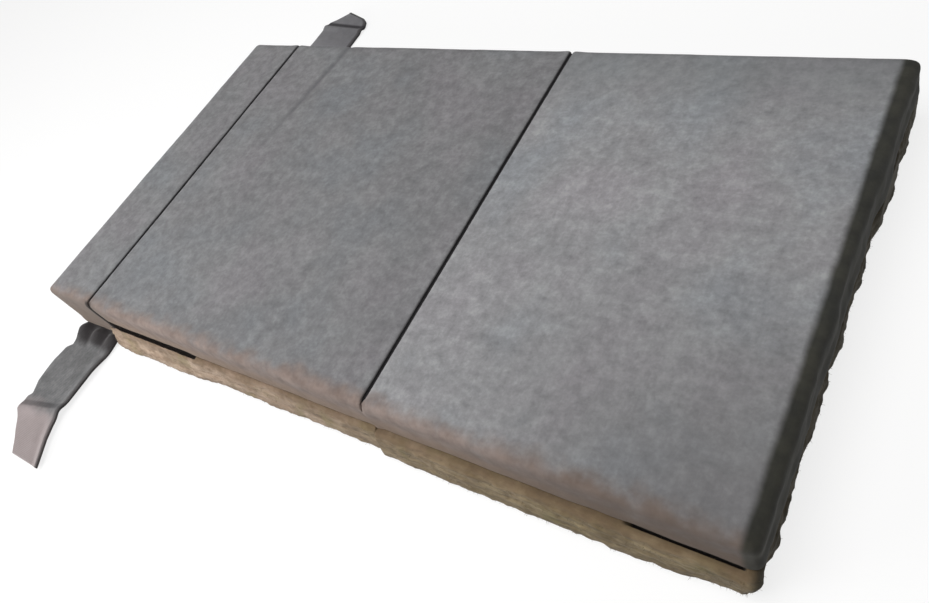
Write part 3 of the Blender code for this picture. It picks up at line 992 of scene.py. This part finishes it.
def splay(points, low, high, seam, seed):
    """Spreads a mat's foot out in front, wears its right front corner, and lets it meet the other mat."""
    foot = fading(points[:, 2], FOOT_FADE)
    front = fading(points[:, 1] - low[1], (0.004, 0.012))
    left = fading(points[:, 0], (-0.26, -0.10))
    right = rising(points[:, 0], (0.40, 0.50))
    calm = rising(np.abs(points[:, 0] - seam), (0.006, 0.030))
    share = 1.0 + 1.1 * left - 1.2 * right + 0.35 * waves(points, 0.060, seed + 4) * calm
    worn = rising(points[:, 0], (0.470, 0.500)) * fading(points[:, 1], (-0.278, -0.236))
    points[:, 0] -= CORNER_WEAR * foot * worn
    points[:, 1] -= MAT_FLARE * foot * front * share
    facing = fading(np.abs(points[:, 0] - seam), (0.004, 0.012))
    if seam == high[0]:
        points[:, 0] += MAT_MEETING * facing
        points[:, 1] += 0.5 * LAP_DEPTH * facing * front
    else:
        points[:, 0] -= (MAT_MEETING + LAP_REACH * front) * facing
        points[:, 1] -= 0.5 * LAP_DEPTH * facing * front


def fibre_relief(points, seed):
    """How far lumps, tufts, layers and hairs of the pressed fibre stand out, more at the flap's end."""
    end = 1.0 + 1.6 * rising(points[:, 0], (0.47, 0.50))
    lumps = 0.0016 * end * waves(points, 0.040, seed, (1.0, 1.0, 0.8))
    tufts = 0.0011 * waves(points, 0.011, seed + 1, (1.0, 1.0, 2.2))
    layers = 0.0010 * waves(points, 0.009, seed + 2, (0.25, 0.25, 1.6))
    hairs = 0.0008 * waves(points, 0.0045, seed + 3, (0.8, 0.8, 2.0))
    return lumps + tufts + layers + hairs


def fibre_mat(panel, seam, finish):
    """A panel's mat of pressed fibre.  seam is the X place of its side that faces the other mat."""
    seed = MAT_SEEDS[panel]
    low, high = corners(panel + "_base_mat")
    obj = mat_blank(panel + "_fibre_mat", low, high)
    near = np.array((MAT_CORNER, MAT_CORNER, MAT_FOOT_EDGE))
    far = np.array((MAT_CORNER, MAT_CORNER, MAT_TOP_EDGE))
    meeting = near if seam == low[0] else far
    meeting[0] = MAT_SEAM_CORNER
    points = round_box(points_of(obj), low, high, near, far)
    set_points(obj, points)
    normals = normals_of(obj)
    outward = normals * np.array((1.0, 1.0, 0.35))
    sides = rising(np.linalg.norm(normals[:, :2], axis=1), (0.15, 0.7))
    sides *= rising(np.abs(points[:, 0] - seam), (0.0, 0.012))
    splay(points, low, high, seam, seed)
    points += outward * (sides * fibre_relief(points, seed))[:, None]
    torn = rising(points[:, 0], (0.488, 0.497))
    points[:, 0] -= torn * (0.0012 + 0.0024 * waves(points, 0.013, seed + 5, (1.0, 1.0, 0.6)))
    points[:, 0] += back_bulge(points, MAT_BULGE)
    clear_of_strip(points)
    points[:, 2] -= slit(points)
    points[:, 2] = np.clip(points[:, 2], 0.0, high[2])
    set_points(obj, points)
    shade_smooth(obj, 70.0)
    dress(obj, finish, panel)
    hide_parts(panel + "_base_mat")
    return obj


def strand_form():
    """One loose fibre: a thin tapered stalk of three sides, one unit long, from its root to its tip."""
    deselect_all()
    bpy.ops.mesh.primitive_cone_add(vertices=3, radius1=1.0, radius2=0.25, depth=1.0, location=(0, 0, 0.5))
    stalk = name_it("fibre_form")
    settle(stalk)
    cut_across(stalk, 2, (0.25, 0.5, 0.75))
    points = points_of(stalk)
    faces = [tuple(face.vertices) for face in stalk.data.polygons]
    bpy.data.objects.remove(stalk)
    return points, faces


def loose_fibres(panel, roots, finish):
    """Many bent copies of one fibre, each from its root point along its own direction, as one fringe."""
    form, form_faces = strand_form()
    draw = random.Random(BEND_SEEDS[panel])
    every_point, every_face = [], []
    for root, out in roots:
        out = Vector(out) + Vector([draw.uniform(-0.9, 0.9) for _ in range(3)])
        out.normalize()
        across = out.orthogonal().normalized()
        upright = out.cross(across)
        reach = FIBRE_LENGTHS[panel] * draw.uniform(0.4, 1.3)
        bend = Vector([draw.uniform(-0.6, 0.6) for _ in range(3)]) - Vector((0.0, 0.0, 0.35))
        first = len(every_point)
        for x, y, z in form:
            point = Vector(root) + out * (z * reach) + bend * (z * z * reach)
            point += (across * x + upright * y) * FIBRE_RADIUS
            point.z = max(point.z, 0.0002)
            every_point.append(point)
        every_face += [tuple(first + i for i in face) for face in form_faces]
    places = np.array(every_point)
    clear_of_strip(places)
    name = panel + "_loose_fibres"
    mesh = bpy.data.meshes.new(name)
    mesh.from_pydata(places.tolist(), [], every_face)
    obj = bpy.data.objects.new(name, mesh)
    bpy.context.scene.collection.objects.link(obj)
    dress(obj, finish, panel)


def side_roots(obj, seam, seed):
    """Random places on a mat's sides, with their normals, away from the seam and the floor."""
    draw = random.Random(seed)
    points, normals = points_of(obj), normals_of(obj)
    away = np.abs(points[:, 0] - seam) > FIBRE_SEAM_GAP
    upright = np.abs(normals[:, 2]) < 0.8
    fit = np.flatnonzero(away & upright & (points[:, 2] > 0.0005))
    picked = [fit[draw.randrange(len(fit))] for _ in range(FIBRE_COUNT)]
    return [(points[i] - normals[i] * FIBRE_ROOT, normals[i]) for i in picked]


# ---------------------------------------------------------------- hinge cloths

def hinge_cloth(name, left_leaf, right_leaf, finish):
    """The cloth of one hinge: down the sides of both pads, and bridged across just below their tops."""
    low, high = corners(left_leaf)
    seam = (low[0] + corners(right_leaf)[1][0]) / 2
    start, stop, top = low[1], high[1], high[2]
    deselect_all()
    centre = (seam, (start + stop) / 2, top - BRIDGE_DEPTH)
    bpy.ops.mesh.primitive_grid_add(x_subdivisions=16, y_subdivisions=120, size=1.0, location=centre)
    obj = name_it(name)
    obj.scale = (1.0, stop - start, 1.0)
    settle(obj)
    points = points_of(obj)
    share = (points[:, 0] - seam) * 2.0
    bridge_share = 1.0 - LEAF_SHARE
    across = np.clip(np.abs(share) / bridge_share, 0.0, 1.0)
    down = np.clip((np.abs(share) - bridge_share) / LEAF_SHARE, 0.0, 1.0)
    points[:, 0] = seam + np.sign(share) * across * LEAF_REACH
    sag = BRIDGE_SAG * (1.0 - across ** 2) * (1.0 + 0.35 * waves(points, 0.030, 5))
    points[:, 2] = top - BRIDGE_DEPTH - sag - down * (LEAF_DEPTH - BRIDGE_DEPTH)
    set_points(obj, points)
    apply_modifier(obj, "SOLIDIFY", thickness=HINGE_CLOTH, offset=0.0, use_rim=True)
    shade_smooth(obj, 40.0)
    dress(obj, finish)
    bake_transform(obj)
    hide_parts(left_leaf, right_leaf)


# ---------------------------------------------------------------- strap

def interpolate(places, value):
    """The value at a place on a line through a few (place, value) points."""
    xs, ys = zip(*sorted(places))
    return np.interp(value, xs, ys)


def strap_sheet(name, start, stop, rows, columns, left, right, rise):
    """A flat length of strap from one Y to another, between its left and right edge lines."""
    deselect_all()
    bpy.ops.mesh.primitive_grid_add(x_subdivisions=columns, y_subdivisions=rows, size=1.0)
    obj = name_it(name)
    points = points_of(obj)
    across = points[:, 0] + 0.5
    along = points[:, 1] + 0.5
    y = start + (stop - start) * along
    x = interpolate(left, y) * (1.0 - across) + interpolate(right, y) * across
    placed = np.stack((x, y, np.zeros_like(x)), axis=1)
    placed[:, 2] = STRAP_CLOTH / 2 + rise(placed, across)
    set_points(obj, placed)
    shares = obj.data.attributes.new("across", "FLOAT", "POINT")
    shares.data.foreach_set("value", across.astype(np.float32))
    apply_modifier(obj, "SOLIDIFY", thickness=STRAP_CLOTH, offset=0.0, use_rim=True)
    apply_modifier(obj, "BEVEL", width=STRAP_BEVEL, segments=2, limit_method="ANGLE",
                   angle_limit=math.radians(50))
    low = points_of(obj)
    low[:, 2] = np.maximum(low[:, 2], 0.0)
    set_points(obj, low)
    shade_smooth(obj, 60.0)
    return obj


def front_tail_rise(points, across):
    """Gathers at the root, a fold line across before the end, and small waves."""
    out = -points[:, 1]
    gathers = np.abs(np.sin(across * math.pi * 2.6 + 0.7)) ** 1.5
    rise = 0.0075 * gathers * fading(out, (0.280, 0.312)) * rising(out, (0.268, 0.282))
    fold = out - FRONT_FOLD + FRONT_SLANT * (across - 0.5)
    rise += 0.0030 * np.exp(-(((fold - 0.007) / 0.009) ** 2))
    inner = fading(across, (0.55, 0.85))
    rise += 0.0016 * (waves(points, 0.030, 41) + 0.5) * rising(out, (0.30, 0.34)) * inner
    rise += 0.0060 * rising(across, (0.72, 1.0)) * rising(out, (0.29, 0.34))
    return np.maximum(rise, 0.0)


def back_tail_rise(points, across):
    """Flat, with a valley fold, then an end that turns up."""
    fold = points[:, 1] - BACK_FOLD + BACK_SLANT * (across - 0.5)
    rise = 0.0030 * np.exp(-(((fold + 0.008) / 0.006) ** 2))
    rise += 0.30 * np.maximum(fold, 0.0)
    past_root = rising(points[:, 1], (0.29, 0.33))
    rise += 0.0006 * (waves(points, 0.026, 47) + 0.5) * past_root
    rise += 0.0016 * rising(across, (0.85, 1.0)) * past_root
    return np.maximum(rise, 0.0)


def no_rise(points, across):
    """The strap's run lies flat."""
    return np.zeros(len(points))


def strap_run(left, right, start, stop, finish):
    """The strap's length under the closing strip, as thick as its plain part."""
    low, high = corners("strap_run")
    obj = strap_sheet("strap_under_strip", start, stop, 60, 14, [(0.0, left)], [(0.0, right)], no_rise)
    points = points_of(obj)
    points[:, 2] *= (high[2] - low[2]) / STRAP_CLOTH
    set_points(obj, points)
    dress(obj, finish, "strip")
    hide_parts("strap_run")


def strap_front_end(left, right, start, finish):
    """The front tail, drawn in at its root, and from its fold on slanting off to the right."""
    tip = corners("strap_front_tail")[0][1] - FRONT_TIP_ROOM
    left_edge = [
        (start, left + 0.006), (-0.284, left + 0.002), (-0.300, left + 0.009), (-0.310, left + 0.010),
        (-0.318, left + 0.001), (-0.340, left - 0.002), (-0.378, left + 0.001), (-0.397, left + 0.010),
        (-0.404, left + 0.004), (-0.412, left + 0.006), (-0.424, left + 0.006), (-0.440, left + 0.022),
        (-0.458, left + 0.043), (tip, left + 0.063),
    ]
    right_edge = [
        (start, right), (-0.330, right), (-0.404, right), (-0.423, right + 0.006),
        (-0.441, right + 0.014), (-0.459, right + 0.025), (tip, right + 0.036),
    ]
    obj = strap_sheet("strap_front_end", tip, start, 90, 32, left_edge, right_edge, front_tail_rise)
    dress(obj, finish)
    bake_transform(obj)
    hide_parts("strap_front_tail")


def strap_back_end(left, right, start, finish):
    """The back tail, straight up to its fold, with a cut and pointed end."""
    tip = corners("strap_back_tail")[1][1] - BACK_TIP_ROOM
    left_edge = [
        (start, left), (0.400, left + 0.002), (0.416, left + 0.002), (0.425, left + 0.007),
        (0.434, left + 0.026), (tip, left + 0.044),
    ]
    right_edge = [
        (start, right), (0.405, right + 0.003), (0.416, right + 0.003), (0.424, right + 0.001),
        (0.431, right - 0.008), (0.438, right - 0.030), (tip, right - 0.048),
    ]
    obj = strap_sheet("strap_back_end", start, tip, 90, 32, left_edge, right_edge, back_tail_rise)
    dress(obj, finish)
    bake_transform(obj)
    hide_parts("strap_back_tail")


def make_strap():
    cloth = make_strap_cloth()
    left, right = (corner[0] for corner in corners("strap_run"))
    strip_low, strip_high = corners("strip_cover")
    front_start = strip_low[1] + TAIL_START
    back_start = strip_high[1] - TAIL_START
    strap_run(left, right, front_start, back_start, cloth)
    strap_front_end(left, right, front_start, cloth)
    strap_back_end(left, right, back_start, cloth)


# ---------------------------------------------------------------- the parts that keep their shape

def finish_parts():
    """Gives each carried-over part a finish, by the kind of part that its name ends in."""
    finishes = {
        "_core": make_wool(),
        "_backing_sheet": make_backing_cloth(),
        "_heat_barrier": make_foil(),
        "_bond_tape": make_tape(),
        "_stitching": make_thread(),
        "_bar_tack": make_thread(),
    }
    for name, node in frame["nodes"].items():
        for ending, finish in finishes.items():
            if name.endswith(ending):
                node.data.materials.clear()
                node.data.materials.append(finish)


# ---------------------------------------------------------------- room, light and camera

# The camera's place, its turn in degrees and its focal length in millimetres
EYE = (0.5801, -0.4311, 0.6614)
EYE_TURN = (37.389, 20.560, 29.171)
EYE_LENS = 28.85

# Floor and dome
FLOOR_SIZE = 60.0
FLOOR_DROP = 0.0004
FLOOR_GREY = 0.22
FLOOR_GLOW = 0.80
DOME_RADIUS = 28.0
DOME_GLOW = 0.93

# Lamps: place, aim, size and power
OVERHEAD_LAMP = ((-0.25, -0.45, 2.20), (0.0, 0.0, 0.0), 1.8, 37.0)
LEFT_LAMP = ((-0.95, -1.35, 0.50), (-0.1, 0.0, 0.03), 0.9, 16.5)
ROOM_TINT = (1.0, 0.985, 0.96, 1.0)
ROOM_STRENGTH = 0.20


def make_plain(name, grey, glow):
    material = bpy.data.materials.new(name)
    material.use_nodes = True
    shader = material.node_tree.nodes["Principled BSDF"]
    shader.inputs["Base Color"].default_value = (grey, grey, grey, 1.0)
    shader.inputs["Roughness"].default_value = 1.0
    shader.inputs["Specular IOR Level"].default_value = 0.0
    shader.inputs["Emission Color"].default_value = (1.0, 1.0, 1.0, 1.0)
    shader.inputs["Emission Strength"].default_value = glow
    return material


def make_room():
    """A plain pale floor and a plain pale dome far round it."""
    deselect_all()
    bpy.ops.mesh.primitive_plane_add(size=FLOOR_SIZE, location=(0.0, 0.0, -FLOOR_DROP))
    floor = name_it("pale_floor")
    floor.data.materials.append(make_plain("pale_floor", FLOOR_GREY, FLOOR_GLOW))
    floor.visible_diffuse = False
    bpy.ops.mesh.primitive_uv_sphere_add(segments=48, ring_count=24, radius=DOME_RADIUS)
    dome = name_it("pale_dome")
    dome.data.materials.append(make_plain("pale_dome", 0.0, DOME_GLOW))
    dome.visible_diffuse = False
    dome.visible_glossy = False
    dome.visible_shadow = False


def area_light(name, place, aim, size, power):
    deselect_all()
    bpy.ops.object.light_add(type="AREA", location=place)
    lamp = bpy.context.object
    lamp.name = name
    lamp.data.shape = "DISK"
    lamp.data.size = size
    lamp.data.energy = power
    lamp.rotation_euler = (Vector(aim) - Vector(place)).to_track_quat("-Z", "Y").to_euler()


def make_light():
    world = bpy.data.worlds.new("soft_room")
    world.use_nodes = True
    background = world.node_tree.nodes["Background"]
    background.inputs[0].default_value = ROOM_TINT
    background.inputs[1].default_value = ROOM_STRENGTH
    bpy.context.scene.world = world
    area_light("overhead_softbox", *OVERHEAD_LAMP)
    area_light("left_front_softbox", *LEFT_LAMP)


def make_camera():
    deselect_all()
    bpy.ops.object.camera_add(location=EYE)
    camera = bpy.context.object
    camera.name = "eye"
    camera.rotation_euler = tuple(math.radians(angle) for angle in EYE_TURN)
    camera.data.sensor_width = 36.0
    camera.data.lens = EYE_LENS
    camera.data.clip_start = 0.01
    camera.data.clip_end = 100.0
    bpy.context.scene.camera = camera
    bpy.context.scene.view_settings.view_transform = "Standard"


# ---------------------------------------------------------------- the blanket

def make_mats():
    """Both mats, and then a fringe of loose fibres on each."""
    fibre = make_mat_fibre()
    seams = {"middle": corners("middle_base_mat")[1][0], "flap": corners("flap_base_mat")[0][0]}
    mats = {panel: fibre_mat(panel, seam, fibre) for panel, seam in seams.items()}
    for panel, mat in mats.items():
        loose = make_loose_fibre(*LOOSE_FIBRE[panel])
        loose_fibres(panel, side_roots(mat, seams[panel], ROOT_SEEDS[panel]), loose)


def make_covers():
    """The wool of the middle panel and the strip is a darker grey than the flap's."""
    cloth = make_cover_cloth("grey_cover_cloth", 0.79, False)
    flap_cloth = make_cover_cloth("grey_flap_cloth", 1.12, True)
    pad("middle", cloth)
    pad("flap", flap_cloth)
    pad("strip", cloth)


def make_hinges():
    cloth = make_hinge_cloth()
    hinge_cloth("flap_hinge_cloth", "middle_flap_hinge_leaf", "flap_hinge_leaf", cloth)
    hinge_cloth("strip_hinge_cloth", "strip_hinge_leaf", "middle_strip_hinge_leaf",
                cloth)


make_camera()
make_light()
make_room()
finish_parts()
make_covers()
make_mats()
make_hinges()
make_strap()
deselect_all()
